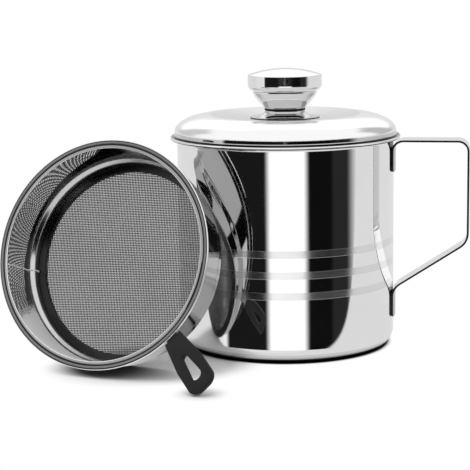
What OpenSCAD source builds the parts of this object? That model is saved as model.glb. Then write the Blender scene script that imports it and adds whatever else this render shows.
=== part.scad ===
// Grease keeper: a drawn steel pot with a strap handle, a domed lid with a turned knob,
// and a drop-in strainer that is shown taken out, leaning on the pot.
// Millimetres, +Z up, origin at the centre of the pot's base.

/* [Pot] */
// Outer diameter of the body wall
pot_d = 120; // [90:1:170]
// Height from the floor to the top of the rim
pot_h = 116.4; // [90:0.1:200]
// Thickness of the pot's steel sheet
pot_t = 0.8; // [0.5:0.1:1.2]
// Outer radius of the bottom corner
corner_r = 7.8; // [4:0.1:14]
// How far the folded rim stands out from the wall
rim_reach = 3.8; // [2.8:0.1:6]
// Thickness of the folded rim
rim_t = 1.6; // [1:0.1:2.4]
// Radius where the wall turns out into the rim
rim_fillet = 1.2; // [0.6:0.1:1.6]

/* [Satin bands] */
// Number of satin bands round the body
band_count = 3; // [1:1:5]
// Height of one satin band
band_h = 3.9; // [2:0.1:6]
// Distance from one band to the next
band_pitch = 11.2; // [8:0.1:14]
// Height of the top edge of the uppermost band
band_top = 61.2; // [55:0.1:80]
// Depth that brushing takes off the polished wall
band_depth = 0.06; // [0.03:0.01:0.15]

/* [Pot handle] */
// Direction of the handle round the pot, from +X
handle_turn = -8; // [-30:1:30]
// Width of the handle strap
strap_w = 16.5; // [10:0.5:24]
// Thickness of the handle strap
strap_t = 1.2; // [0.8:0.1:2.5]
// Reach of the handle beyond the pot wall, to its outer face
handle_reach = 41.8; // [30:0.1:60]
// How far the top bar's upper face lies below the pot's rim
handle_drop = 1.9; // [1.7:0.1:10]
// Height of the outer bar between its two bends
grip_run = 44.8; // [30:0.1:60]
// Slope of the lower bar
brace_slope = 33; // [20:1:40]
// Length of each straight tab that is welded to the wall
tab_len = 11.5; // [8:0.5:14]
// Inner radius of the two upper bends
bend_r = 5; // [3:0.5:8]
// Inner radius of the bend below the hand
low_bend_r = 8.5; // [4:0.5:12]
// Inner radius of the bend at the lower tab
foot_bend_r = 8.5; // [4:0.5:10]
// Corner radius at the strap's ends
tab_corner_r = 2.5; // [1:0.5:4]

/* [Lid] */
// Overhang of the lid's edge past the pot wall
lid_over = 1.75; // [1.4:0.05:2.2]
// Thickness of the lid's steel sheet
lid_t = 0.8; // [0.5:0.1:1.2]
// Height of the lid's upright skirt
skirt_h = 2.2; // [2:0.1:6]
// Height of the folded edge at the foot of the skirt
hem_h = 1.0; // [0.6:0.1:1.6]
// Depth of the fine groove above the folded edge
hem_groove = 0.25; // [0.1:0.05:0.4]
// Rise of the rounded shoulder above the skirt
dome_h = 9.6; // [6:0.1:14]
// Width of the rounded shoulder
shoulder_w = 20; // [8:0.5:26]
// Depth of the shallow dish that the knob stands in
dish_h = 2; // [0.5:0.1:4]
// Width of the flat ledge round the knob in the dish
dish_ledge = 1; // [0.5:0.1:4]
// Depth of the locating ring below the lid's edge
ring_depth = 4; // [2.5:0.1:8]
// Running gap between the locating ring and the strainer's wall
ring_gap = 0.6; // [0.3:0.05:1.2]

/* [Knob] */
// Diameter of the flared knob base
flare_d = 38.8; // [32:0.1:48]
// Height of the flared knob base
flare_h = 3.9; // [3:0.1:7]
// Height of the flare's thin upright edge
flare_edge = 0.5; // [0.3:0.1:1]
// Diameter of the neck between base and bowl
neck_d = 22; // [16:0.1:26]
// Thickness of the black ring at the neck
gasket_t = 1.2; // [0.6:0.1:2]
// How far the black ring stands out from the neck
gasket_out = 0.3; // [0.1:0.1:0.8]
// Height of the knob's cone
cone_h = 9.1; // [6:0.1:14]
// Diameter of the cone at its top
cone_d = 35.6; // [30:0.1:38]
// Swell of the cone's side, where 1 is straight
cone_swell = 1.35; // [1:0.05:2]
// Width of the dark groove between cone and cap
groove_w = 0.5; // [0.3:0.1:1]
// Diameter of the knob cap
cap_d = 40.8; // [40:0.1:50]
// Height of the cap's rounded foot
cap_foot_h = 3.6; // [2.6:0.1:7]
// Height of the cap's upright side
cap_side_h = 5.2; // [3:0.1:8]
// Rise of the cap's crown above its side
cap_crown = 3.6; // [2:0.1:6]
// Height of the spigot that the cap is pressed on
spigot_h = 3; // [2:0.1:5]
// Thickness of the knob's spun sheet
knob_t = 0.9; // [0.6:0.1:1.4]
// Thread diameter of the knob screw
screw_d = 4; // [3:0.5:5]
// Length of the threaded boss inside the cone
boss_h = 7; // [5:0.5:8]
// Diameter of the threaded boss
boss_d = 9; // [7:0.5:12]

/* [Strainer] */
// How far the strainer's rim reaches past the pot wall
strainer_over = 1; // [0.5:0.1:2]
// Thickness of the folded rim of the strainer
strainer_rim_t = 1.5; // [1:0.1:2.2]
// Radius where the strainer's wall turns out into its rim
mouth_fillet = 1; // [0.6:0.1:1.4]
// Thickness of the strainer's wall
strainer_t = 0.6; // [0.4:0.1:1]
// Running gap between the strainer's wall and the inside of the pot
drop_gap = 2.2; // [0.5:0.1:3]
// Depth of the upper wall, down to the step
upper_depth = 24; // [14:0.5:30]
// Height of the sloping step
step_h = 2.5; // [1.5:0.5:5]
// How far the step draws the wall in
step_in = 2.5; // [1.5:0.1:5]
// Depth of the lower wall below the step
lower_depth = 5.4; // [3:0.1:12]
// Width of the flat ring that carries the mesh
lip_w = 4.1; // [2.5:0.1:6]
// Thickness of the mesh disc
mesh_t = 0.8; // [0.5:0.1:1.2]
// Number of gaps along the mesh's diameter
mesh_gaps = 17; // [9:2:19]
// Width of the solid strip between two gaps
mesh_bar = 1.4; // [0.8:0.1:2.4]
// Height of the ring that clamps the mesh
clamp_h = 1.2; // [0.8:0.1:2.5]

/* [Strainer handle] */
// Length of the black grip
grip_len = 39; // [30:0.5:60]
// Width of the grip at the rim
grip_root_w = 10.8; // [9:0.2:14]
// Width of the grip at its outer end
grip_end_w = 16.1; // [14:0.1:24]
// Distance from the root to where the grip is at full width
grip_taper = 20; // [12:1:24]
// Thickness of the grip
grip_t = 2.4; // [2:0.1:5]
// Corner radius at the grip's end
grip_corner_r = 5.5; // [3:0.5:7]
// Upward bend of the grip from the rim's plane
grip_bend = 20; // [0:1:25]
// Distance from the root to the centre of the slot's narrow end
slot_at = 16.4; // [12:0.1:18]
// Distance between the centres of the slot's two ends
slot_len = 12.4; // [8:0.1:14]
// Radius of the slot's narrow end
slot_small_r = 1.6; // [1:0.1:2.4]
// Radius of the slot's wide end
slot_big_r = 3.1; // [2.6:0.1:4]
// Width of the steel tang
tang_w = 7; // [5:0.5:8]
// Thickness of the steel tang
tang_t = 1.2; // [0.8:0.1:1.4]

/* [Leaning strainer] */
// Direction in which the strainer's mouth faces, turned from the front
lean_heading = 22; // [10:1:40]
// How far the strainer leans back from upright
lean_back = 18.8; // [10:0.1:30]
// Bearing of the strainer's centre from the pot's axis
lean_bearing = 214.5; // [205:0.5:225]
// Direction of the grip, from straight down in the rim's plane
grip_turn = 48.7; // [46:0.1:60]
// Gap left between the leaning strainer and the pot
rest_gap = 0.3; // [0.2:0.05:0.6]

/* [Hidden] */
$fn = 96;

// Clearance between pieces that are pressed or welded together
fit = 0.05;

// Pot levels and radii
pot_r = pot_d / 2;
pot_bore_r = pot_r - pot_t;
rim_r = pot_r + rim_reach;

// Lid levels and radii
lid_r = pot_r + lid_over;
skirt_r = lid_r - hem_groove;
skirt_top = pot_h + skirt_h;
lid_top = skirt_top + dome_h - dish_h;

// Knob levels and radii
flare_r = flare_d / 2;
dish_r = flare_r + dish_ledge;
neck_r = neck_d / 2;
flare_top = lid_top + flare_h;
cone_z = flare_top + gasket_t;
cone_top = cone_z + cone_h;
cone_r = cone_d / 2;
cone_foot_r = neck_r + gasket_out;
spigot_r = cone_r - 1.5 * knob_t;
cap_z = cone_top + groove_w;
cap_r = cap_d / 2;
cap_side_z = cap_z + cap_foot_h;
cap_edge_z = cap_side_z + cap_side_h;

// Fastener sizes that follow the screw
bolt_hole_r = screw_d / 2 + 0.25;
screw_head_r = screw_d * 0.95;
screw_head_h = screw_d * 0.55;
screw_slot_w = screw_d * 0.25;
washer_r = screw_d * 1.25;
washer_t = screw_d * 0.2;

// Strainer radii, and depths below its mouth
strainer_r = pot_r + strainer_over;
wall_r = pot_bore_r - drop_gap;
low_r = wall_r - step_in;
low_at = upper_depth + step_h;
floor_at = low_at + lower_depth;
strainer_depth = floor_at + strainer_t;
mesh_open_r = low_r - strainer_t - lip_w;
mesh_r = low_r - strainer_t - fit;
mesh_pitch = 2 * mesh_open_r / mesh_gaps;

// Strainer handle, along its bend line just outside the rim
bend_at = strainer_r + 0.3;
tang_z = -strainer_rim_t - tang_t / 2;
grip_start = 0.6;
tang_end = slot_at - slot_small_r - 2;

// Leaning pose: the lowest edge stands on the floor and the back edge lies on the pot
mouth_dir = [-sin(lean_heading) * cos(lean_back), -cos(lean_heading) * cos(lean_back), sin(lean_back)];
side_dir = [cos(lean_heading), -sin(lean_heading), 0];
up_dir = [sin(lean_heading) * sin(lean_back), cos(lean_heading) * sin(lean_back), cos(lean_back)];
grip_dir = side_dir * sin(grip_turn) - up_dir * cos(grip_turn);
grip_across = side_dir * cos(grip_turn) + up_dir * sin(grip_turn);
grip_along = grip_dir * cos(grip_bend) + mouth_dir * sin(grip_bend);
grip_face = mouth_dir * cos(grip_bend) - grip_dir * sin(grip_bend);
grip_corner = grip_dir * bend_at + mouth_dir * tang_z
    + grip_along * (grip_len - grip_corner_r)
    - grip_across * (grip_end_w / 2 - grip_corner_r);
grip_low = grip_corner_r * sqrt(1 - pow(grip_face.z, 2)) + abs(grip_face.z) * grip_t / 2 - grip_corner.z;
seats = [[strainer_r, strainer_rim_t], [wall_r, upper_depth], [low_r, strainer_depth]];
seat_low = max([for (s = seats) s[0] * cos(lean_back) + s[1] * sin(lean_back)]);
lean_z = max(seat_low, grip_low);
lean_at = lean_centre(lean_out(pot_d, 5));

function lean_centre(out) = [out * cos(lean_bearing), out * sin(lean_bearing), lean_z];
function seat_point(centre, s, a) = centre - mouth_dir * s[1] + (side_dir * cos(a) + up_dir * sin(a)) * s[0];
function pot_reach(z) = z > pot_h - rim_t - rim_fillet ? rim_r : pot_r;
function pot_gap(out) = min([for (s = seats) for (a = [0 : 2 : 358])
    let (p = seat_point(lean_centre(out), s, a)) norm([p.x, p.y]) - pot_reach(p.z)]);
function lean_out(out, tries) = tries == 0 ? out : lean_out(out + rest_gap - pot_gap(out), tries - 1);

// Points on an arc about [x, y], from angle a to angle b
function arc(x, y, r, a, b, steps = 6) =
    [for (i = [0 : steps]) let (t = a + (b - a) * i / steps) [x + r * cos(t), y + r * sin(t)]];

// Drawn steel pot with a folded rim and shallow satin bands
module pot_body() {
    band_tops = [for (i = [band_count - 1 : -1 : 0]) band_top - i * band_pitch];
    bands = [for (z = band_tops) each [[pot_r, z - band_h], [pot_r - band_depth, z - band_h + band_depth],
        [pot_r - band_depth, z - band_depth], [pot_r, z]]];
    outside = concat([[0, 0]], arc(pot_r - corner_r, corner_r, corner_r, -90, 0), bands,
        arc(pot_r + rim_fillet, pot_h - rim_t - rim_fillet, rim_fillet, 180, 90),
        arc(rim_r - rim_t / 2, pot_h - rim_t / 2, rim_t / 2, -90, 90));
    inside = concat(arc(pot_bore_r + rim_fillet, pot_h - rim_fillet, rim_fillet, 90, 180),
        arc(pot_r - corner_r, corner_r, corner_r - pot_t, 0, -90), [[0, pot_t]]);
    color("silver") rotate_extrude() polygon(concat(outside, inside));
}

// Bent steel strap: top bar, outer bar for the hand, sloping lower bar and two welded tabs
module pot_handle() {
    r_bend = bend_r + strap_t / 2;
    r_low = low_bend_r + strap_t / 2;
    r_foot = foot_bend_r + strap_t / 2;
    wall_x = pot_r + fit + strap_t / 2;
    outer_x = pot_r + handle_reach - strap_t / 2;
    top_z = pot_h - handle_drop - strap_t / 2 - r_bend;
    low_z = top_z - grip_run;
    brace_end = 90 - brace_slope;
    // the lower bar runs tangent from the bend below the hand to the bend at the lower tab
    brace_x = outer_x - r_low + r_low * sin(brace_slope);
    tab_x = wall_x + r_foot - r_foot * sin(brace_slope);
    tab_z = low_z - r_low * cos(brace_slope) - (brace_x - tab_x) * tan(brace_slope)
        - r_foot * cos(brace_slope);
    half = strap_t / 2;
    over = 1;
    hand_side = concat([[wall_x + half, tab_z - over]],
        arc(wall_x + r_foot, tab_z, r_foot - half, 180, 90 + brace_slope),
        arc(outer_x - r_low, low_z, r_low + half, -brace_end, 0),
        arc(outer_x - r_bend, top_z, r_bend + half, 0, 90),
        arc(wall_x + r_bend, top_z, r_bend + half, 90, 180), [[wall_x - half, top_z - over]]);
    wall_side = concat([[wall_x + half, top_z - over]],
        arc(wall_x + r_bend, top_z, r_bend - half, 180, 90),
        arc(outer_x - r_bend, top_z, r_bend - half, 90, 0),
        arc(outer_x - r_low, low_z, r_low - half, 0, -brace_end),
        arc(wall_x + r_foot, tab_z, r_foot + half, 90 + brace_slope, 180), [[wall_x - half, tab_z - over]]);
    color("gainsboro") rotate([0, 0, handle_turn]) {
        rotate([90, 0, 0])
            linear_extrude(strap_w, center = true)
                polygon(concat(hand_side, wall_side));
        strap_tab(top_z);
        strap_tab(tab_z);
    }
}

// Tab that follows the round wall, from height z downwards, with rounded lower corners
module strap_tab(z) {
    side = strap_w / 2;
    difference() {
        intersection() {
            translate([0, 0, z - tab_len])
                cylinder(r = pot_r + fit + strap_t, h = tab_len);
            rotate([90, 0, 90])
                linear_extrude(pot_r + 2 * strap_t) {
                    translate([-side, z - tab_len + tab_corner_r])
                        square([strap_w, tab_len - tab_corner_r]);
                    translate([tab_corner_r - side, z - tab_len])
                        square([strap_w - 2 * tab_corner_r, tab_corner_r]);
                    for (s = [-1, 1])
                        translate([s * (side - tab_corner_r), z - tab_len + tab_corner_r])
                            circle(tab_corner_r);
                }
        }
        translate([0, 0, z - tab_len - 1])
            cylinder(r = pot_r + fit, h = tab_len + 2);
    }
}

// Domed lid pressed from sheet, with a folded edge and a shallow dish with the hole for the knob screw
module lid_shell() {
    shoulder_x = skirt_r - shoulder_w;
    outside = concat([[lid_r - lid_t - hem_groove, pot_h], [lid_r, pot_h], [lid_r, pot_h + hem_h],
        [skirt_r, pot_h + hem_h + hem_groove]],
        shoulder(shoulder_x, shoulder_w, dome_h), [[dish_r, lid_top], [bolt_hole_r, lid_top]]);
    inside = concat([[bolt_hole_r, lid_top - lid_t], [dish_r, lid_top - lid_t]],
        shoulder(shoulder_x, shoulder_w - lid_t, dome_h - lid_t, true));
    color("silver") rotate_extrude() polygon(concat(outside, inside));
}

// Quarter ellipse from the skirt up to the crest, or back down it
function shoulder(x, w, h, down = false, steps = 10) = [for (i = [0 : steps])
    let (t = 90 * (down ? steps - i : i) / steps) [x + w * cos(t), skirt_top + h * sin(t)]];

// Ring under the lid that drops inside the strainer and keeps the lid central
module lid_ring() {
    ring_r = wall_r - strainer_t - ring_gap;
    web_r = lid_r - lid_t - hem_groove - fit;
    color("silver") rotate_extrude() polygon([[ring_r - lid_t, pot_h - ring_depth],
        [ring_r, pot_h - ring_depth], [ring_r, pot_h], [web_r, pot_h], [web_r, pot_h + lid_t],
        [ring_r - lid_t, pot_h + lid_t]]);
}

// Flared base of the knob, hollow underneath
module knob_base() {
    rise = flare_h - flare_edge;
    hollow_r = neck_r + 2;
    flare = [for (i = [0 : 8]) let (t = 90 * i / 8)
        [flare_r - (flare_r - neck_r) * sin(t), flare_top - rise * cos(t)]];
    color("silver") rotate_extrude() polygon(concat([[hollow_r, lid_top], [flare_r, lid_top]], flare,
        [[bolt_hole_r, flare_top], [bolt_hole_r, flare_top - knob_t], [neck_r - knob_t, flare_top - knob_t],
        [neck_r - knob_t, flare_top - 2 * knob_t]]));
}

// Black ring squeezed between base and cone
module knob_gasket() {
    color("black") translate([0, 0, flare_top])
        difference() {
            cylinder(r = neck_r + gasket_out, h = gasket_t);
            translate([0, 0, -1]) cylinder(r = neck_r / 2, h = gasket_t + 2);
        }
}

// Hollow cone of the knob, with a spigot that the cap is pressed on
module knob_cone() {
    steps = 7;
    outside = [for (i = [0 : steps]) let (u = i / steps)
        [cone_foot_r + (cone_r - cone_foot_r) * (1 - pow(1 - u, cone_swell)), cone_z + cone_h * u]];
    inner_foot_r = cone_foot_r - knob_t / 2;
    inner_top_r = spigot_r - knob_t;
    color("silver") rotate_extrude() polygon(concat([[bolt_hole_r, cone_z]], outside,
        [[spigot_r, cone_top], [spigot_r, cone_top + spigot_h], [inner_top_r, cone_top + spigot_h],
        [inner_top_r, cone_top - knob_t], [inner_foot_r, cone_z + knob_t], [bolt_hole_r, cone_z + knob_t]]));
}

// Crowned cap with an upright side and a rounded foot
module knob_cap() {
    foot_in = cap_r - cone_r;
    foot_arc_r = (foot_in * foot_in + cap_foot_h * cap_foot_h) / (2 * foot_in);
    foot_angle = acos(1 - foot_in / foot_arc_r);
    crown_r = (cap_r * cap_r + cap_crown * cap_crown) / (2 * cap_crown);
    crown_angle = asin(cap_r / crown_r);
    crown_z = cap_edge_z + cap_crown - crown_r;
    inner_r = cap_r - knob_t;
    outside = concat([[spigot_r + fit, cap_z]],
        arc(cap_r - foot_arc_r, cap_side_z, foot_arc_r, -foot_angle, 0),
        arc(0, crown_z, crown_r, 90 - crown_angle, 90));
    inside = concat(arc(0, crown_z, crown_r - knob_t, 90, 90 - asin(inner_r / (crown_r - knob_t))),
        [[inner_r, cap_side_z], [spigot_r + fit, cap_z + knob_t]]);
    color("silver") rotate_extrude() polygon(concat(outside, inside));
}

// Threaded boss brazed to the cone's floor
module knob_boss() {
    color("darkgray") translate([0, 0, cone_z + knob_t])
        difference() {
            cylinder(d = boss_d, h = boss_h);
            translate([0, 0, -1]) cylinder(r = screw_d / 2 + fit, h = boss_h + 2);
        }
}

// Washer under the lid
module knob_washer() {
    color("gray") translate([0, 0, lid_top - lid_t - washer_t])
        difference() {
            cylinder(r = washer_r, h = washer_t);
            translate([0, 0, -1]) cylinder(r = bolt_hole_r, h = washer_t + 2);
        }
}

// Slotted screw that holds the knob from inside the lid
module knob_screw() {
    seat_z = lid_top - lid_t - washer_t;
    end_z = cone_z + knob_t + boss_h - 1;
    color("dimgray") difference() {
        union() {
            translate([0, 0, seat_z - screw_head_h]) cylinder(r = screw_head_r, h = screw_head_h);
            translate([0, 0, seat_z]) cylinder(d = screw_d, h = end_z - seat_z);
        }
        translate([-screw_head_r - 1, -screw_slot_w / 2, seat_z - screw_head_h - 1])
            cube([2 * screw_head_r + 2, screw_slot_w, 1 + screw_head_h / 2]);
    }
}

// Puts a strainer piece, drawn with its mouth up, into the leaning pose
module leaning() {
    translate(lean_at)
        rotate([0, 0, -lean_heading])
            rotate([90 - lean_back, 0, 0])
                children();
}

// Steel wall of the strainer: folded rim, upper wall, step and lower wall
module strainer_wall() {
    t = strainer_t;
    edge = strainer_rim_t / 2;
    outside = concat([[wall_r, -strainer_rim_t]],
        arc(strainer_r - edge, -edge, edge, -90, 90),
        arc(wall_r - t + mouth_fillet, -mouth_fillet, mouth_fillet, 90, 180, 4));
    inside = [[wall_r - t, -upper_depth], [low_r - t, -low_at], [low_r - t, -strainer_depth],
        [low_r, -strainer_depth], [low_r, -low_at], [wall_r, -upper_depth]];
    color("silver") leaning() rotate_extrude() polygon(concat(outside, inside));
}

// Flat ring inside the wall's foot that the mesh lies on
module mesh_seat() {
    color("silver") leaning() translate([0, 0, -strainer_depth])
        difference() {
            cylinder(r = mesh_r, h = strainer_t);
            translate([0, 0, -1]) cylinder(r = mesh_open_r, h = strainer_t + 2);
        }
}

// Strainer floor: a round net held at its edge
module strainer_mesh() {
    hole = mesh_pitch - mesh_bar;
    span = (mesh_gaps - 1) / 2;
    color("gray") leaning() translate([0, 0, -floor_at])
        linear_extrude(mesh_t)
            difference() {
                circle(mesh_r);
                for (i = [-span : span])
                    for (j = [-span : span])
                        if (norm([i, j]) * mesh_pitch + hole * 0.7 < mesh_open_r)
                            translate([i * mesh_pitch - hole / 2, j * mesh_pitch - hole / 2])
                                square(hole);
            }
}

// Flat ring that clamps the mesh on its seat
module mesh_clamp() {
    color("silver") leaning() translate([0, 0, mesh_t - floor_at])
        difference() {
            cylinder(r = mesh_r, h = clamp_h);
            translate([0, 0, -1]) cylinder(r = mesh_open_r, h = clamp_h + 2);
        }
}

// Places a handle piece, drawn along +X from the bend line, on the rim
module at_grip(bend) {
    rotate([0, 0, grip_turn - 90])
        translate([bend_at, 0, tang_z])
            rotate([0, -bend, 0])
                children();
}

// Steel tang, welded under the rim and bent up into the grip
module grip_tang() {
    weld_len = bend_at - wall_r - 2 * fit - pow(tang_w / 2, 2) / (2 * wall_r);
    half = tang_t / 2;
    mitre = half * tan(grip_bend / 2);
    tip = [tang_end * cos(grip_bend), tang_end * sin(grip_bend)];
    out = [-half * sin(grip_bend), half * cos(grip_bend)];
    color("silver") leaning() at_grip(0)
        rotate([90, 0, 0])
            linear_extrude(tang_w, center = true)
                polygon([[-weld_len, -half], [mitre, -half], tip - out, tip + out, [-mitre, half],
                    [-weld_len, half]]);
}

// Black grip over the tang, with a drop-shaped hanging slot
module grip_sleeve() {
    root = grip_root_w / 2;
    side = grip_end_w / 2;
    corner_x = grip_len - grip_corner_r;
    corner_y = side - grip_corner_r;
    flank = asin((slot_big_r - slot_small_r) / slot_len);
    slot_end = slot_at + slot_len;
    color("black") leaning() at_grip(grip_bend) difference() {
        translate([0, 0, -grip_t / 2]) linear_extrude(grip_t) difference() {
            union() {
                polygon([[grip_start, -root], [grip_taper, -side], [corner_x, -side], [corner_x, side],
                    [grip_taper, side], [grip_start, root]]);
                translate([corner_x, -corner_y]) square([grip_corner_r, 2 * corner_y]);
                for (s = [-1, 1]) translate([corner_x, s * corner_y]) circle(grip_corner_r);
            }
            translate([slot_at, 0]) circle(slot_small_r);
            translate([slot_end, 0]) circle(slot_big_r);
            polygon([[slot_at - slot_small_r * sin(flank), -slot_small_r * cos(flank)],
                [slot_end - slot_big_r * sin(flank), -slot_big_r * cos(flank)],
                [slot_end - slot_big_r * sin(flank), slot_big_r * cos(flank)],
                [slot_at - slot_small_r * sin(flank), slot_small_r * cos(flank)]]);
        }
        translate([0, -tang_w / 2 - fit, -tang_t / 2 - fit])
            cube([tang_end + fit, tang_w + 2 * fit, tang_t + 2 * fit]);
    }
}

pot_body();
pot_handle();
lid_shell();
lid_ring();
knob_base();
knob_gasket();
knob_cone();
knob_cap();
knob_boss();
knob_washer();
knob_screw();
strainer_wall();
mesh_seat();
strainer_mesh();
mesh_clamp();
grip_tang();
grip_sleeve();
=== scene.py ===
"""Polished steel grease keeper with a domed lid, a strap handle and a leaning mesh strainer."""

import logging
import math
from dataclasses import dataclass
from enum import Enum
from typing import Callable

import bmesh
import bpy
from mathutils import Matrix, Vector


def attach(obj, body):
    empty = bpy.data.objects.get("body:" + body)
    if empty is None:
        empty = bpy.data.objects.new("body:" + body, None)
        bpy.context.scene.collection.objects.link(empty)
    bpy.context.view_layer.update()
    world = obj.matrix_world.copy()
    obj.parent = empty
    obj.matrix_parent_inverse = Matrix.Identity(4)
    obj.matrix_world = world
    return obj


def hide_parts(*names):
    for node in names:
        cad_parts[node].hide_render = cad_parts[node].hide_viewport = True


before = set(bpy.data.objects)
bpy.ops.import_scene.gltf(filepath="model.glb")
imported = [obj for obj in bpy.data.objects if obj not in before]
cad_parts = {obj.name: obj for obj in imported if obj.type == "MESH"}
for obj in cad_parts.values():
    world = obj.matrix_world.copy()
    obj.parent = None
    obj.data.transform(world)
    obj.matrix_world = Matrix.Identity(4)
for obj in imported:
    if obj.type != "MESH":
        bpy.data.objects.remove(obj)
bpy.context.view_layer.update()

LOG = logging.getLogger("grease_keeper")
MM = 0.001

Pair = tuple[float, float]
Triple = tuple[float, float, float]
Socket = bpy.types.NodeSocket


class Slot(Enum):
    """The record's material slots that the made pieces belong to."""

    POLISHED = "polished_steel"
    SATIN = "satin_steel"
    MESH = "woven_mesh"
    RUBBER = "black_rubber"
    PLASTIC = "black_plastic"


# ---------------- outlines


def arc(
    centre: Pair, radius: float, start: float, end: float, steps: int, rise: float | None = None,
) -> list[Pair]:
    """Points along a circle or an ellipse.

    Args:
        centre: Its centre in millimetres.
        radius: Its radius, or an ellipse's half axis across, in millimetres.
        start: First angle in degrees.
        end: Last angle in degrees.
        steps: Number of chords.
        rise: An ellipse's half axis upwards in millimetres.

    Returns:
        The points, both ends included.
    """
    points = []
    for i in range(steps + 1):
        angle = math.radians(start + (end - start) * i / steps)
        up = (rise or radius) * math.sin(angle)
        points.append((centre[0] + radius * math.cos(angle), centre[1] + up))
    return points


def turned(degrees: float, axis: str) -> Matrix:
    """A rotation about the named axis."""
    return Matrix.Rotation(math.radians(degrees), 4, axis)


def sharp(points: list[Pair]) -> list[Triple]:
    """Turns plain points into corners with no rounding."""
    return [(x, z, 0.0) for x, z in points]


def rounded(corners: list[Triple], steps: int = 5) -> list[Pair]:
    """Rounds the corners of a closed outline.

    Args:
        corners: Points with the radius that each corner is rounded to, in millimetres.
        steps: Number of chords in one rounded corner.

    Returns:
        The outline's points, each rounded corner as an arc.
    """
    outline = []
    count = len(corners)
    for i, (x, z, radius) in enumerate(corners):
        here = Vector((x, z))
        back = Vector(corners[i - 1][:2]) - here
        ahead = Vector(corners[(i + 1) % count][:2]) - here
        if radius <= 0 or back.length == 0 or ahead.length == 0:
            outline.append((x, z))
            continue
        half = back.angle(ahead) / 2
        reach = min(radius / math.tan(half), 0.49 * back.length, 0.49 * ahead.length)
        radius = reach * math.tan(half)
        centre = here + (back.normalized() + ahead.normalized()).normalized() * (radius / math.sin(half))
        first = here + back.normalized() * reach - centre
        last = here + ahead.normalized() * reach - centre
        start = math.degrees(math.atan2(first.y, first.x))
        sweep = math.degrees(math.atan2(last.y, last.x)) - start
        sweep = (sweep + 180) % 360 - 180
        outline += arc(tuple(centre), radius, start, start + sweep, steps)
    return outline


# ---------------- finishes


class Wiring:
    """Adds and links the nodes of one material or world."""

    def __init__(self, tree: bpy.types.NodeTree) -> None:
        """Clears the tree and keeps it."""
        tree.nodes.clear()
        self.tree = tree

    def add(
        self, kind: str, inputs: dict[str | int, object] | None = None, **settings: object,
    ) -> bpy.types.Node:
        """Adds a node.

        Args:
            kind: The node's type, without its ShaderNode prefix.
            inputs: Values, or sockets to link, by the name or number of the input.
            **settings: The node's own settings.

        Returns:
            The node.
        """
        node = self.tree.nodes.new("ShaderNode" + kind)
        for key, value in settings.items():
            setattr(node, key, value)
        for key, value in (inputs or {}).items():
            if isinstance(value, Socket):
                self.tree.links.new(value, node.inputs[key])
            else:
                node.inputs[key].default_value = value
        return node

    def math(self, operation: str, *values: object) -> Socket:
        """Adds a Math node on the given values or sockets and returns its output."""
        node = self.add("Math", dict(enumerate(values)), operation=operation)
        return node.outputs[0]

    def span(
        self, value: Socket, low: float, high: float, to_low: float, to_high: float,
        shape: str = "LINEAR",
    ) -> Socket:
        """Adds a Map Range node from low..high to to_low..to_high and returns its output."""
        limits = {"Value": value, "From Min": low, "From Max": high, "To Min": to_low, "To Max": to_high}
        return self.add("MapRange", limits, interpolation_type=shape).outputs[0]

    def ease(
        self, value: Socket, low: float, high: float, to_low: float = 0.0, to_high: float = 1.0,
    ) -> Socket:
        """Adds a Map Range node with soft ends and returns its output."""
        return self.span(value, low, high, to_low, to_high, "SMOOTHSTEP")

    def noise(self, spot: Socket, scale: Triple, detail: float = 4.0) -> Socket:
        """Adds a noise stretched by the given scale per metre and returns its value."""
        mapping = self.add("Mapping", {"Vector": spot, "Scale": scale})
        noise = self.add("TexNoise", {
            "Vector": mapping.outputs[0], "Scale": 1.0, "Detail": detail, "Roughness": 0.55,
        })
        return noise.outputs["Fac"]

    def blend(self, factor: Socket, low: tuple, high: tuple) -> Socket:
        """Adds a colour mix and returns its result."""
        mix = self.add("Mix", {0: factor, 6: low, 7: high}, data_type="RGBA")
        return mix.outputs[2]


def grey(value: float) -> tuple[float, float, float, float]:
    """The opaque grey of the given linear value."""
    return (value, value, value, 1.0)


@dataclass(frozen=True)
class Finish:
    """A finish that makes its node material at its first use.

    Args:
        name: The material's name.
    """

    name: str

    @property
    def material(self) -> bpy.types.Material:
        """The node material."""
        made = bpy.data.materials.get(self.name)
        if made is None:
            made = bpy.data.materials.new(self.name)
            made.use_nodes = True
            w = Wiring(made.node_tree)
            w.add("OutputMaterial", {"Surface": self.surface(w)})
        return made

    def surface(self, w: Wiring) -> Socket:
        """Wires the finish's shader and returns its output."""
        raise NotImplementedError


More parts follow.
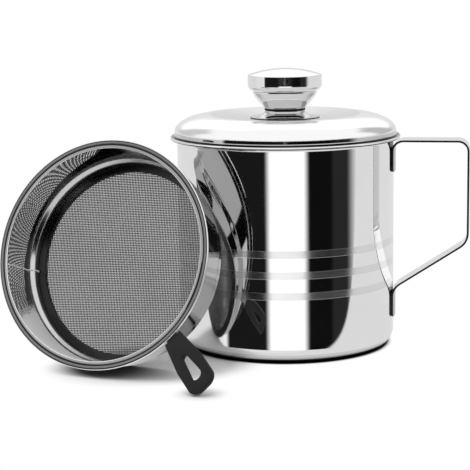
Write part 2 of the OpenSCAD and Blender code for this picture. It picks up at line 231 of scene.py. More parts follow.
@dataclass(frozen=True)
class Steel(Finish):
    """Stainless steel, from mirror polish to brushed.

    Args:
        tint: Linear reflectance.
        rough: Roughness on clean and on handled metal.
        grain: Stretch of the polishing marks, per metre along X, Y and Z.
        grain_depth: Depth of those marks in metres.
        smudge: How much the tint falls in worn and handled places.
        edge_wear: How much lighter exposed edges are.
        painted_highlight: Heights in metres below which the metal is painted near-white and rough, a
            painted highlight, and above which it stays polished.
    """

    tint: float = 0.84
    rough: Pair = (0.035, 0.085)
    grain: Triple = (90.0, 90.0, 900.0)
    grain_depth: float = 0.0
    smudge: float = 0.05
    edge_wear: float = 0.03
    painted_highlight: Pair | None = None

    # The same for every steel, so these are no fields.
    cloud_scale = (22.0, 22.0, 22.0)
    cloud_range = (0.42, 0.72)
    cloud_share = 0.6
    mixed_range = (0.1, 0.9)
    edge_range = (0.52, 0.62)
    # The painted highlight's ragged edge, extra roughness and near-white colour.
    painted_highlight_ragged = 0.008
    painted_highlight_rough = 0.4
    painted_highlight_tint = 0.98

    def surface(self, w: Wiring) -> Socket:
        """Wires the metal with its smudges, polishing marks, worn edges and a painted highlight low
        down.
        """
        spot = w.add("TexCoord").outputs["Object"]
        cloud = w.noise(spot, self.cloud_scale, detail=5.0)
        grain = w.noise(spot, self.grain, detail=3.0)
        handled = w.ease(cloud, *self.cloud_range)
        mixed = w.math(
            "ADD", w.math("MULTIPLY", handled, self.cloud_share),
            w.math("MULTIPLY", grain, 1 - self.cloud_share),
        )
        roughness = w.span(mixed, *self.mixed_range, *self.rough)
        colour = w.blend(mixed, grey(self.tint), grey(self.tint * (1 - self.smudge)))
        pointed = w.add("NewGeometry").outputs["Pointiness"]
        worn = w.blend(w.span(pointed, *self.edge_range, 0.0, self.edge_wear), colour, grey(1.0))
        inputs = {"Base Color": worn, "Metallic": 1.0, "Roughness": roughness}
        # Painted highlight: below the given heights the metal turns near-white, rough and not metal.
        if self.painted_highlight:
            height = w.add("SeparateXYZ", {0: spot}).outputs[2]
            ragged = w.math("MULTIPLY_ADD", grain, self.painted_highlight_ragged, height)
            highlight_mask = w.ease(ragged, *self.painted_highlight, 1.0, 0.0)
            inputs["Metallic"] = w.span(highlight_mask, 0.0, 1.0, 1.0, 0.0)
            inputs["Roughness"] = w.math("MULTIPLY_ADD", highlight_mask, self.painted_highlight_rough, roughness)
            inputs["Base Color"] = w.blend(highlight_mask, worn, grey(self.painted_highlight_tint))
        if self.grain_depth > 0:
            bump = w.add("Bump", {"Height": grain, "Strength": 1.0, "Distance": self.grain_depth})
            inputs["Normal"] = bump.outputs[0]
        return w.add("BsdfPrincipled", inputs).outputs[0]


@dataclass(frozen=True)
class Moulding(Finish):
    """Moulded plastic, rubber or a weld bead, with a fine grain.

    Args:
        dark: Linear colour in the grain's hollows.
        light: Linear colour on the grain and on rubbed edges.
        rough: Roughness on rubbed and on fresh surface.
        grain: Size of the moulded grain, per metre.
        grain_depth: Depth of the grain in metres.
    """

    dark: float = 0.006
    light: float = 0.014
    rough: Pair = (0.3, 0.42)
    grain: float = 1500.0
    grain_depth: float = 0.00002

    # The same for every moulding.
    cloud_scale = (60.0, 60.0, 60.0)
    cloud_range = (0.3, 0.7)
    rubbed_range = (0.5, 0.6)
    rubbed_share = 0.6
    grain_share = 0.5
    shine = 0.2

    def surface(self, w: Wiring) -> Socket:
        """Wires the moulding with its grain and rubbed edges."""
        spot = w.add("TexCoord").outputs["Object"]
        cloud = w.noise(spot, self.cloud_scale)
        grain = w.noise(spot, (self.grain, self.grain, self.grain), detail=2.0)
        pointed = w.add("NewGeometry").outputs["Pointiness"]
        rubbed = w.span(pointed, *self.rubbed_range, 0.0, self.rubbed_share)
        light = w.math("ADD", w.math("MULTIPLY", grain, self.grain_share), rubbed)
        bump = w.add("Bump", {"Height": grain, "Strength": 1.0, "Distance": self.grain_depth})
        return w.add("BsdfPrincipled", {
            "Base Color": w.blend(light, grey(self.dark), grey(self.light)),
            "Roughness": w.span(cloud, *self.cloud_range, *self.rough),
            "Normal": bump.outputs[0], "Specular IOR Level": self.shine,
        }).outputs[0]


@dataclass(frozen=True)
class Finishes:
    """Every finish of the keeper."""

    polished: Finish = Steel("mirror_polished_steel", tint=0.88, rough=(0.03, 0.07))
    lid_polish: Finish = Steel(
        "spun_lid_steel", tint=0.95, rough=(0.15, 0.21), grain=(60.0, 60.0, 60.0), smudge=0.03,
    )
    # Painted shade: the lid's skirt is a darker copy of the steel, for the shadowed gap over the pot's
    # rim.
    skirt: Finish = Steel("lid_skirt_painted_shade_steel", tint=0.6, rough=(0.05, 0.1))
    knob: Finish = Steel("knob_steel", tint=0.86, rough=(0.05, 0.1), grain=(60.0, 60.0, 400.0))
    # Painted shade: the knob's flare is a darker copy of the knob's steel.
    flare: Finish = Steel("knob_flare_painted_shade_steel", tint=0.6, rough=(0.05, 0.1), smudge=0.15)
    shade_line: Finish = Steel("shaded_fold_steel", tint=0.03, rough=(0.12, 0.2), edge_wear=0.0)
    band: Finish = Steel(
        "satin_band_steel", tint=0.78, rough=(0.13, 0.19), grain=(30.0, 30.0, 6000.0),
        grain_depth=0.000004,
    )
    inside: Finish = Steel(
        "brushed_inside_steel", tint=0.72, rough=(0.2, 0.3), grain=(40.0, 40.0, 3000.0),
        grain_depth=0.000004,
    )
    # Painted shade: the strainer's outer wall is a darker copy of the polished steel.
    outside: Finish = Steel("strainer_outside_painted_shade_steel", tint=0.38, rough=(0.05, 0.1), smudge=0.15)
    # The lower part of the bowl's inner wall carries a painted highlight.
    bowl: Finish = Steel("strainer_bowl_steel", tint=0.88, rough=(0.03, 0.07), painted_highlight=(0.028, 0.035))
    # Painted shade: the inside of the strainer's step and lower wall is a darker, rougher copy of the
    # steel.
    step: Finish = Steel("strainer_step_painted_shade_steel", tint=0.66, rough=(0.12, 0.2), smudge=0.15)
    # Painted shade: the strap's cut edges are near black.
    edge: Finish = Steel("cut_edge_painted_shade_steel", tint=0.03, rough=(0.3, 0.42), smudge=0.3, edge_wear=0.0)
    # Painted shade: the handle's tabs against the wall are a darker copy of the steel.
    tab: Finish = Steel("handle_tab_painted_shade_steel", tint=0.3, rough=(0.1, 0.18), smudge=0.15)
    rim: Finish = Steel(
        "satin_rim_steel", tint=0.24, rough=(0.28, 0.38), grain=(900.0, 900.0, 900.0),
        grain_depth=0.000002, smudge=0.12, edge_wear=0.0,
    )
    # Painted shade: the rings round the mesh are near black.
    painted_shade_ring: Finish = Steel(
        "mesh_ring_painted_shade_steel", tint=0.035, rough=(0.18, 0.28), grain=(900.0, 900.0, 900.0), edge_wear=0.0,
    )
    # Painted shade: the mesh's wires are a dark copy of the steel.
    wire: Finish = Steel(
        "woven_wire_painted_shade_steel", tint=0.15, rough=(0.26, 0.38), grain=(1200.0, 1200.0, 1200.0), smudge=0.2,
        edge_wear=0.0,
    )
    seam: Finish = Moulding("ground_weld_bead", dark=0.7, light=0.85, rough=(0.4, 0.55))
    fastener: Finish = Steel(
        "machined_steel", tint=0.6, rough=(0.22, 0.34), grain=(300.0, 300.0, 3000.0),
        grain_depth=0.000006,
    )
    rubber: Finish = Moulding("neck_rubber", dark=0.004, light=0.01, rough=(0.5, 0.65), grain=2500.0)
    plastic: Finish = Moulding("grip_plastic")


# ---------------- meshes


def held(outline: list[Pair]) -> list[Pair]:
    """Adds a point near both ends of each long straight run, which keeps its shading flat.

    Args:
        outline: The closed outline in millimetres.

    Returns:
        The outline with the new points.
    """
    near, long, axis = 0.15, 1.5, 1.0
    points = []
    for (r0, z0), (r1, z1) in zip(outline, outline[1:] + outline[:1]):
        points.append((r0, z0))
        length = math.hypot(r1 - r0, z1 - z0)
        if length > long and max(r0, r1) > axis:
            for part in (near / length, 1 - near / length):
                points.append((r0 + (r1 - r0) * part, z0 + (z1 - z0) * part))
    return points


def spun(outline: list[Pair], steps: int) -> bmesh.types.BMesh:
    """Spins a closed outline round the Z axis.

    Args:
        outline: Radius and height of each point in millimetres.
        steps: Number of steps in the full turn.

    Returns:
        The closed shell, with its faces pointing outwards.
    """
    bm = bmesh.new()
    ring = [bm.verts.new((r * MM, 0, z * MM)) for r, z in held(outline)]
    edges = [bm.edges.new((ring[i - 1], ring[i])) for i in range(len(ring))]
    bmesh.ops.spin(
        bm, geom=ring + edges, cent=(0, 0, 0), axis=(0, 0, 1), dvec=(0, 0, 0), angle=math.tau,
        steps=steps, use_merge=True, use_normal_flip=False, use_duplicate=False,
    )
    bmesh.ops.remove_doubles(bm, verts=bm.verts, dist=1e-6)
    bmesh.ops.dissolve_degenerate(bm, edges=bm.edges, dist=1e-7)
    bmesh.ops.recalc_face_normals(bm, faces=bm.faces)
    return bm


def place(
    bm: bmesh.types.BMesh,
    name: str,
    finishes: list[Finish],
    pick: Callable[[Vector, Vector], Finish] | None = None,
    where: Matrix | None = None,
    sharp_deg: float = 35,
) -> bpy.types.Object:
    """Turns a bmesh into an object that sits at the origin.

    Args:
        bm: The shape, in the sub-assembly's own frame. It is freed.
        name: The object's name.
        finishes: The object's finishes.
        pick: Gives a face's finish from its centre, in millimetres, and its normal.
        where: Moves the shape to its place.
        sharp_deg: Edges over this angle stay sharp.

    Returns:
        The object, linked to the scene.
    """
    for face in bm.faces:
        face.smooth = True
        if pick:
            finish = pick(face.calc_center_median() / MM, face.normal)
            face.material_index = finishes.index(finish)
    for edge in bm.edges:
        edge.smooth = edge.is_manifold and edge.calc_face_angle(0) < math.radians(sharp_deg)
    if where:
        bmesh.ops.transform(bm, matrix=where, verts=bm.verts)
    mesh = bpy.data.meshes.new(name)
    bm.to_mesh(mesh)
    bm.free()
    return link(mesh, finishes)


def link(mesh: bpy.types.Mesh, finishes: list[Finish]) -> bpy.types.Object:
    """Links a mesh to the scene as an object of its name with the given finishes."""
    for finish in finishes:
        mesh.materials.append(finish.material)
    piece = bpy.data.objects.new(mesh.name, mesh)
    bpy.context.scene.collection.objects.link(piece)
    return piece


def new_curve(name: str, bevel: float, resolution: int, flat: bool = False) -> bpy.types.Curve:
    """Makes an empty curve with a rounded section.

    Args:
        name: The curve's name.
        bevel: Radius of the rounding in millimetres.
        resolution: Extra points in the rounding.
        flat: Whether the curve is a filled outline instead of a line in space.

    Returns:
        The curve.
    """
    curve = bpy.data.curves.new(name, "CURVE")
    curve.dimensions = "2D" if flat else "3D"
    curve.bevel_depth = bevel * MM
    curve.bevel_resolution = resolution
    return curve


def add_line(curve: bpy.types.Curve, points: list[Triple], closed: bool = False) -> None:
    """Adds straight runs through points in millimetres to a curve."""
    line = curve.splines.new("POLY")
    line.points.add(len(points) - 1)
    line.use_cyclic_u = closed
    for point, (x, y, z) in zip(line.points, points):
        point.co = (x * MM, y * MM, z * MM, 1.0)


def curve_mesh(curve: bpy.types.Curve, where: Matrix) -> bpy.types.Mesh:
    """Turns a curve into a smooth mesh in its place.

    Args:
        curve: The curve. It is removed.
        where: Moves the mesh to its place.

    Returns:
        The mesh, with the curve's name.
    """
    name = curve.name
    holder = bpy.data.objects.new(name, curve)
    bpy.context.scene.collection.objects.link(holder)
    bpy.context.view_layer.update()
    mesh = bpy.data.meshes.new_from_object(holder.evaluated_get(bpy.context.evaluated_depsgraph_get()))
    bpy.data.objects.remove(holder)
    bpy.data.curves.remove(curve)
    mesh.materials.clear()
    mesh.name = name
    mesh.transform(where)
    mesh.shade_smooth()
    return mesh


# ---------------- sub-assemblies


class SubAssembly:
    """Pieces that ride on one body."""

    body = ""
    finishes = Finishes()

    def fit(self, piece: bpy.types.Object, slot: Slot, *nodes: str) -> None:
        """Rides a piece on the body and says which nodes it stands for.

        Args:
            piece: The finished piece.
            slot: The record's slot that its finish belongs to. It is not used.
            *nodes: The CAD nodes that it replaces.
        """
        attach(piece, self.body)
        if nodes:
            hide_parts(*nodes)
        LOG.info("%s: %d faces, stands for %s", piece.name, len(piece.data.polygons), nodes or "trim")

    def dress(self, node: str, finish: Finish) -> None:
        """Gives a CAD node that stays its finish."""
        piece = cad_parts[node]
        piece.data.materials.clear()
        piece.data.materials.append(finish.material)
        LOG.info("%s: kept from the frame", node)


@dataclass
class Pot(SubAssembly):
    """The drawn pot and its strap handle, in millimetres."""

    radius: float = 60.0
    height: float = 116.4
    sheet: float = 0.8
    corner: float = 7.8
    rim_reach: float = 3.8
    rim_sheet: float = 1.6
    rim_fillet: float = 1.2
    band_tops: tuple[float, ...] = (38.8, 50.0, 61.2)
    band_height: float = 3.9
    band_depth: float = 0.06
    handle_turn: float = -8.0
    strap_width: float = 16.5
    strap: float = 1.2
    handle_reach: float = 41.8
    handle_drop: float = 1.9
    grip_run: float = 44.8
    brace_slope: float = 33.0
    tab: float = 11.5
    bend: float = 5.0
    low_bend: float = 8.5
    foot_bend: float = 8.5
    tab_corner: float = 2.5
    strap_edge: float = 0.28
    strap_cells: int = 12
    weld_gap: float = 0.05
    body = "pot"

    def build(self) -> None:
        """Makes the pot and the handle."""
        self.wall()
        self.handle()

    def wall(self) -> None:
        """Spins the pot's wall, floor and folded rim."""
        f = self.finishes
        bore = self.radius - self.sheet
        rim = self.radius + self.rim_reach
        under = self.height - self.rim_sheet
        edge = self.rim_sheet / 2
        corners = [(0.0, 0.0, 0.0), (self.radius, 0.0, self.corner)]
        for top in self.band_tops:
            deep = self.radius - self.band_depth
            corners += sharp([
                (self.radius, top - self.band_height), (deep, top - self.band_height + self.band_depth),
                (deep, top - self.band_depth), (self.radius, top),
            ])
        corners += [
            (self.radius, under, self.rim_fillet), (rim, under, edge), (rim, self.height, edge),
            (bore, self.height, self.rim_fillet), (bore, self.sheet, self.corner - self.sheet),
            (0.0, self.sheet, 0.0),
        ]

        def finish_of(centre: Vector, normal: Vector) -> Finish:
            """The finish of a face of the pot."""
            across = math.hypot(centre.x, centre.y)
            on_rim = centre.z > under + edge / 2 and across < rim - 2 * edge / 3 and normal.z > 0.5
            under_rim = across > self.radius + 2 * edge / 3 and normal.z < -0.25
            if on_rim or under_rim:
                return f.shade_line
            if across < bore + self.sheet / 2 and centre.z > self.sheet / 2:
                return f.inside
            in_band = any(top - self.band_height < centre.z < top for top in self.band_tops)
            return f.band if in_band and across < self.radius + edge else f.polished

        metals = [f.polished, f.band, f.inside, f.shade_line]
        pot = place(spun(rounded(corners, 8), 288), "pot_wall", metals, finish_of)
        self.fit(pot, Slot.POLISHED, "pot_body")

    def centreline(self) -> list[Pair]:
        """The strap's centreline from the upper tab's end round to the lower tab's end."""
        half = self.strap / 2
        wall_x = self.radius + self.weld_gap + half
        outer_x = self.radius + self.handle_reach - half
        r_bend, r_low, r_foot = self.bend + half, self.low_bend + half, self.foot_bend + half
        top_z = self.height - self.handle_drop - half - r_bend
        low_z = top_z - self.grip_run
        slope = math.radians(self.brace_slope)
        brace_x = outer_x - r_low + r_low * math.sin(slope)
        tab_x = wall_x + r_foot - r_foot * math.sin(slope)
        tab_z = low_z - (r_low + r_foot) * math.cos(slope) - (brace_x - tab_x) * math.tan(slope)
        cells = self.strap_cells
        line = [(wall_x, top_z - self.tab * (1 - i / cells)) for i in range(cells)]
        for middle, radius, start, end in (
            ((wall_x + r_bend, top_z), r_bend, 180, 90),
            ((outer_x - r_bend, top_z), r_bend, 90, 0),
            ((outer_x - r_low, low_z), r_low, 0, self.brace_slope - 90),
            ((wall_x + r_foot, tab_z), r_foot, 90 + self.brace_slope, 180),
        ):
            line += arc(middle, radius, start, end, cells)
        line += [(wall_x, tab_z - self.tab * (i + 1) / cells) for i in range(cells)]
        return line

    def handle(self) -> None:
        """Bends the strap: flat bars, rounded bends and two tabs that follow the wall."""
        f = self.finishes
        line = self.centreline()
        bm = bmesh.new()
        bmesh.ops.create_grid(bm, x_segments=len(line) - 1, y_segments=self.strap_cells, size=1.0)
        bm.verts.ensure_lookup_table()
        seat = self.radius + self.weld_gap + self.strap / 2
        side = self.strap_width / 2
        turn = turned(self.handle_turn, "Z")
        for vert in bm.verts:
            x, z = line[round((vert.co.x + 1) / 2 * (len(line) - 1))]
            near = min(math.dist((x, z), end) for end in (line[0], line[-1]))
            cut = max(self.tab_corner - near, 0.0)
            reach = side - self.tab_corner + math.sqrt(self.tab_corner**2 - cut**2)
            t = vert.co.y * reach
            wrap = 1 - min(max(x - seat, 0.0) / self.bend, 1.0)
            x += wrap * (math.sqrt(seat**2 - t**2) - seat)
            vert.co = Vector((x, t, z)) * MM
        bmesh.ops.recalc_face_normals(bm, faces=bm.faces)
        tab_x = seat + self.strap

        def finish_of(centre: Vector, normal: Vector) -> Finish:
            """The finish of a face of the strap."""
            # The tabs get the darker painted shade finish.
            return f.tab if centre.x < tab_x else f.polished

        # Solidify gives a cut edge the slot after its face's, so the edge finish, a near-black painted
        # shade, stands twice.
        metals = [f.polished, f.edge, f.tab, f.edge]
        strap = place(bm, "strap_handle", metals, finish_of, turn, 60)
        thick = strap.modifiers.new("thickness", "SOLIDIFY")
        thick.thickness = self.strap * MM
        thick.offset = 0
        thick.use_even_offset = True
        thick.material_offset_rim = 1
        soft = strap.modifiers.new("soft_edges", "BEVEL")
        soft.width = self.strap_edge * MM
        soft.segments = 3
        soft.limit_method = "ANGLE"
        soft.angle_limit = math.radians(50)
        soft.harden_normals = True
        self.fit(strap, Slot.POLISHED, "pot_handle")


@dataclass
class Lid(SubAssembly):
    """The domed lid and its knob, in millimetres."""

    seat: float = 116.4
    radius: float = 61.75
    sheet: float = 0.8
    hem: float = 1.0
    groove: float = 0.25
    skirt: float = 2.2
    shade_top: float = 119.1
    dome: float = 9.6
    shoulder: float = 20.0
    dish: float = 2.0
    dish_ledge: float = 1.0
    crest_round: float = 6.0
    bolt_hole: float = 2.25
    flare_radius: float = 19.4
    flare_height: float = 3.9
    flare_edge: float = 0.5
    neck_radius: float = 11.0
    gasket: float = 1.2
    gasket_out: float = 0.3
    cone_height: float = 9.1
    cone_radius: float = 17.8
    cone_swell: float = 1.35
    knob_groove: float = 0.5
    cap_radius: float = 20.4
    cap_foot: float = 3.6
    cap_side: float = 5.2
    cap_crown: float = 3.6
    knob_sheet: float = 0.9
    spigot_height: float = 3.0
    weld_gap: float = 0.05
    body = "lid"

    @property
    def top(self) -> float:
        """Height of the dish that the knob stands in."""
        return self.seat + self.skirt + self.dome - self.dish

    @property
    def flare_top(self) -> float:
        """Height of the knob base's top."""
        return self.top + self.flare_height

    @property
    def cone_foot(self) -> float:
        """Height of the cone's foot."""
        return self.flare_top + self.gasket

    @property
    def cone_top(self) -> float:
        """Height of the cone's top."""
        return self.cone_foot + self.cone_height

    @property
    def spigot_radius(self) -> float:
        """Outer radius of the cone's spigot inside the cap."""
        return self.cone_radius - 1.5 * self.knob_sheet

    def build(self) -> None:
        """Makes the lid and every piece of the knob."""
        self.shell()
        self.base()
        self.neck_ring()
        self.cone()
        self.cap()
        self.dress("lid_ring", self.finishes.inside)
        for node in ("knob_boss", "knob_washer", "knob_screw"):
            self.dress(node, self.finishes.fastener)

    def shoulder_curve(self, inset: float) -> list[Pair]:
        """The shoulder's quarter ellipse from the skirt up to the crest, set in from the outside."""
        middle = (self.radius - self.groove - self.shoulder, self.seat + self.skirt)
        return arc(middle, self.shoulder - inset, 0, 90, 24, self.dome - inset)

    def shell(self) -> None:
        """Spins the domed lid with its folded edge."""
        f = self.finishes
        skirt_r = self.radius - self.groove
        corners = [
            (skirt_r - self.sheet, self.seat, 0.1), (self.radius, self.seat, 0.25),
            (self.radius, self.seat + self.hem, 0.25),
            (skirt_r, self.seat + self.hem + self.groove, 0.15),
        ]
        corners += sharp(self.shoulder_curve(0.0)[:-1])
        dish = self.flare_radius + self.dish_ledge
        crest = skirt_r - self.shoulder
        under = self.top - self.sheet
        corners += [
            (crest, self.top + self.dish, self.crest_round), (dish, self.top, self.crest_round),
            (self.bolt_hole, self.top, 0.1), (self.bolt_hole, under, 0.1), (dish, under, 0.0),
        ]
        corners += sharp(self.shoulder_curve(self.sheet)[::-1])

        def finish_of(centre: Vector, normal: Vector) -> Finish:
            """The finish of a face of the lid."""
            if normal.z < -0.05 or normal.dot(Vector((centre.x, centre.y, 0))) < 0:
                return f.inside
            if centre.z < self.seat + self.hem - 0.1:
                return f.shade_line
            # Below shade_top the skirt gets the darker painted shade finish.
            return f.skirt if centre.z < self.shade_top else f.lid_polish

        metals = [f.lid_polish, f.inside, f.shade_line, f.skirt]
        shell = place(spun(rounded(corners), 288), "lid_dome", metals, finish_of, sharp_deg=25)
        self.fit(shell, Slot.POLISHED, "lid_shell")

    def base(self) -> None:
        """Spins the flared knob base, hollow underneath."""
        f = self.finishes
        sheet, top = self.knob_sheet, self.flare_top
        rise = self.flare_height - self.flare_edge
        spread = self.flare_radius - self.neck_radius
        flare = arc((self.flare_radius, top), spread, 270, 180, 16, rise)[1:]
        inner = self.neck_radius - sheet
        corners = [
            (self.neck_radius + 2, self.top, 0.1), (self.flare_radius, self.top, 0.2),
            (self.flare_radius, self.top + self.flare_edge, 0.3), *sharp(flare),
            (self.bolt_hole, top, 0.1), (self.bolt_hole, top - sheet, 0.1),
            (inner, top - sheet, 0.2), (inner, top - 2 * sheet, 0.2),
        ]

        def finish_of(centre: Vector, normal: Vector) -> Finish:
            """The finish of a face of the knob's base."""
            # The flare gets the darker painted shade finish, its foot edge the shade line.
            return f.shade_line if centre.z < self.top + self.flare_edge - 0.05 else f.flare

        metals = [f.flare, f.shade_line]
        base = place(spun(rounded(corners), 160), "knob_flare", metals, finish_of, sharp_deg=30)
        self.fit(base, Slot.POLISHED, "knob_base")

    def neck_ring(self) -> None:
        """Spins the black ring between base and cone."""
        out = self.neck_radius + self.gasket_out
        corners = [
            (self.neck_radius / 2, self.flare_top, 0.0), (out, self.flare_top, 0.45),
            (out, self.cone_foot, 0.45), (self.neck_radius / 2, self.cone_foot, 0.0),
        ]
        ring = place(spun(rounded(corners), 128), "knob_neck_ring", [self.finishes.rubber])
        self.fit(ring, Slot.RUBBER, "knob_gasket")

    def cone(self) -> None:
        """Spins the knob's hollow cone with its spigot."""
        sheet, low, top = self.knob_sheet, self.cone_foot, self.cone_top
        foot = self.neck_radius + self.gasket_out
        inner = self.spigot_radius - sheet
        steps = 20
        side = []
        for i in range(1, steps):
            along = i / steps
            swell = 1 - (1 - along) ** self.cone_swell
            side.append((foot + (self.cone_radius - foot) * swell, low + self.cone_height * along))
        corners = [
            (self.bolt_hole, low, 0.1), (foot, low, 0.2), *sharp(side),
            (self.cone_radius, top, 0.25), (self.spigot_radius, top, 0.0),
            (self.spigot_radius, top + self.spigot_height, 0.2), (inner, top + self.spigot_height, 0.2),
            (inner, top - sheet, 0.5), (foot - sheet / 2, low + sheet, 0.5),
            (self.bolt_hole, low + sheet, 0.1),
        ]
        cone = place(spun(rounded(corners), 160), "knob_bowl", [self.finishes.knob], sharp_deg=30)
        self.fit(cone, Slot.POLISHED, "knob_cone")

    def cap(self) -> None:
        """Spins the crowned cap with its upright side and rounded foot."""
        low = self.cone_top + self.knob_groove
        side = low + self.cap_foot
        edge = side + self.cap_side
        step = self.cap_radius - self.cone_radius
        foot_r = (step**2 + self.cap_foot**2) / (2 * step)
        foot_angle = math.degrees(math.acos(1 - step / foot_r))
        crown_r = (self.cap_radius**2 + self.cap_crown**2) / (2 * self.cap_crown)
        crown_angle = math.degrees(math.asin(self.cap_radius / crown_r))
        crown_z = edge + self.cap_crown - crown_r
        bore = self.spigot_radius + self.weld_gap
        inner = self.cap_radius - self.knob_sheet
        inner_r = crown_r - self.knob_sheet
        under = 90 - math.degrees(math.asin(inner / inner_r))
        foot = arc((self.cap_radius - foot_r, side), foot_r, -foot_angle, 0, 12)
        crown = arc((0.0, crown_z), crown_r, 90 - crown_angle, 90, 24)
        ceiling = arc((0.0, crown_z), inner_r, 90, under, 12)
        corners = [
            (bore, low, 0.1), (*foot[0], 0.25), *sharp(foot[1:]), (*crown[0], 0.35), *sharp(crown[1:]),
            *sharp(ceiling), (inner, side, 0.3), (bore, low + self.knob_sheet, 0.2),
        ]
        cap = place(spun(rounded(corners), 192), "knob_crown", [self.finishes.knob], sharp_deg=28)
        self.fit(cap, Slot.POLISHED, "knob_cap")


@dataclass
class Strainer(SubAssembly):
    """The drop-in strainer, made mouth up with its rim at height 0 and then leaned, in millimetres."""

    radius: float = 61.0
    rim_sheet: float = 1.5
    sheet: float = 0.6
    wall_radius: float = 57.0
    upper_depth: float = 24.0
    step_height: float = 2.5
    step_in: float = 2.5
    step_round: float = 2.0
    lower_depth: float = 5.4
    lip: float = 4.1
    mesh_height: float = 0.8
    clamp_height: float = 1.2
    weld_gap: float = 0.05
    wire_pitch: float = 0.94
    wire_radius: float = 0.27
    wire_lift: float = 0.13
    weave_turn: float = 4.5
    weave_short: float = 1.0
    seam_bearing: float = 189.0
    seam_from: float = 1.4
    seam_radius: float = 0.4
    seam_wobble: float = 0.25
    flange_in: float = 58.1
    flange_drop: float = 0.3
    bead_in: float = 58.9
    bead_out: float = 60.0
    roll_from: float = 60.4
    heading: float = 22.0
    lean_back: float = 18.8
    centre: Triple = (-96.66, -66.433, 62.095)
    grip_turn: float = 48.7
    grip_bend: float = 20.0
    grip_length: float = 39.0
    grip_start: float = 0.6
    grip_root: float = 5.4
    grip_side: float = 8.05
    grip_taper: float = 20.0
    grip_sheet: float = 2.4
    grip_corner: float = 5.5
    grip_soft: float = 0.45
    hinge_out: float = 0.3
    slot_at: float = 16.4
    slot_length: float = 12.4
    slot_small: float = 1.6
    slot_big: float = 3.1
    tang_sheet: float = 1.2
    body = "strainer"

    @property
    def leaning(self) -> Matrix:
        """The pose on the pot."""
        lean = turned(-self.heading, "Z") @ turned(90 - self.lean_back, "X")
        return Matrix.Translation(Vector(self.centre) * MM) @ lean

    @property
    def low_radius(self) -> float:
        """Outer radius of the lower wall."""
        return self.wall_radius - self.step_in

    @property
    def floor_at(self) -> float:
        """Depth of the lip's upper face below the mouth."""
        return self.upper_depth + self.step_height + self.lower_depth

    @property
    def mesh_open(self) -> float:
        """Radius of the open mesh inside the lip."""
        return self.low_radius - self.sheet - self.lip

    def build(self) -> None:
        """Makes every piece of the strainer."""
        self.wall()
        self.mesh_rings()
        self.weave()
        self.seam()
        self.grip()
        self.dress("grip_tang", self.finishes.rim)

    def wall(self) -> None:
        """Spins the wall: satin bead, dark flange, upper wall, step and lower wall."""
        f = self.finishes
        t, low, deep = self.sheet, self.low_radius, self.floor_at + self.sheet
        step, drop, soft = self.upper_depth + self.step_height, self.flange_drop, self.step_round
        corners = [
            (self.wall_radius, -self.rim_sheet, 0.5), (self.radius, -self.rim_sheet, 0.7),
            (self.radius, 0.0, 0.7), (self.bead_out, 0.0, 0.0), (self.bead_in, 0.0, 0.3),
            (self.bead_in - drop / 2, -drop, 0.1),
            (self.flange_in, -drop, 0.25), (self.flange_in - drop, 0.0, 0.2),
            (self.wall_radius - t, 0.0, 0.4), (self.wall_radius - t, -self.upper_depth, soft),
            (low - t, -step, soft), (low - t, -deep, 0.2), (low, -deep, 0.4), (low, -step, soft),
            (self.wall_radius, -self.upper_depth, soft),
        ]

        def finish_of(centre: Vector, normal: Vector) -> Finish:
            """The finish of a face of the wall."""
            across = math.hypot(centre.x, centre.y)
            if centre.z > -self.rim_sheet - 0.05 and across > self.flange_in - 0.1:
                if normal.z < -0.3 or across < self.bead_in - 0.1:
                    return f.shade_line
                if across > self.roll_from:
                    return f.polished
                return f.rim if across < self.bead_out else f.shade_line
            # Outer faces get the darker painted shade finish.
            if normal.dot(Vector((centre.x, centre.y, 0))) > 0:
                return f.outside
            # Inside, the step and lower wall get the darker painted shade finish.
            return f.step if centre.z < -self.upper_depth + self.step_round * 0.6 else f.bowl

        metals = [f.polished, f.rim, f.shade_line, f.outside, f.step, f.bowl]
        wall = place(spun(rounded(corners), 288), "strainer_basket", metals, finish_of, self.leaning, 28)
        self.fit(wall, Slot.POLISHED, "strainer_wall")

    def mesh_rings(self) -> None:
        """Spins the ring under the mesh and the ring that clamps it."""
        out = self.low_radius - self.sheet - self.weld_gap
        top = self.mesh_height - self.floor_at
        rings = (
            ("mesh_seat", -self.floor_at - self.sheet, -self.floor_at),
            ("mesh_clamp", top, top + self.clamp_height),
        )
        for node, low, high in rings:
            soft = 0.3 * (high - low)
            corners = [
                (self.mesh_open, low, 0.1), (out, low, 0.1), (out, high, soft),
                (self.mesh_open, high, soft),
            ]
            bm = spun(rounded(corners), 224)
            ring = place(bm, node + "_ring", [self.finishes.painted_shade_ring], where=self.leaning)
            self.fit(ring, Slot.SATIN, node)

    def weave(self) -> None:
        """Weaves the strainer's floor from crossing wires, warp and weft."""
        middle = self.mesh_height / 2 - self.floor_at
        reach = self.low_radius - self.sheet - self.weave_short
        count = int(reach / self.wire_pitch)
        where = self.leaning @ turned(self.weave_turn, "Z")
        for name, weft in (("mesh_warp", 0), ("mesh_weft", 1)):
            curve = new_curve(name, self.wire_radius, 0)
            for i in range(-count, count + 1):
                across = i * self.wire_pitch
                half = int(math.sqrt(reach**2 - across**2) / self.wire_pitch)
                wire = []
                for j in range(-half, half + 1):
                    along = j * self.wire_pitch
                    over = 1 if (i + j + weft) % 2 else -1
                    x, y = (across, along) if weft else (along, across)
                    wire.append((x, y, middle + over * self.wire_lift))
                add_line(curve, wire)
            piece = link(curve_mesh(curve, where), [self.finishes.wire])
            self.fit(piece, Slot.MESH, "strainer_mesh")

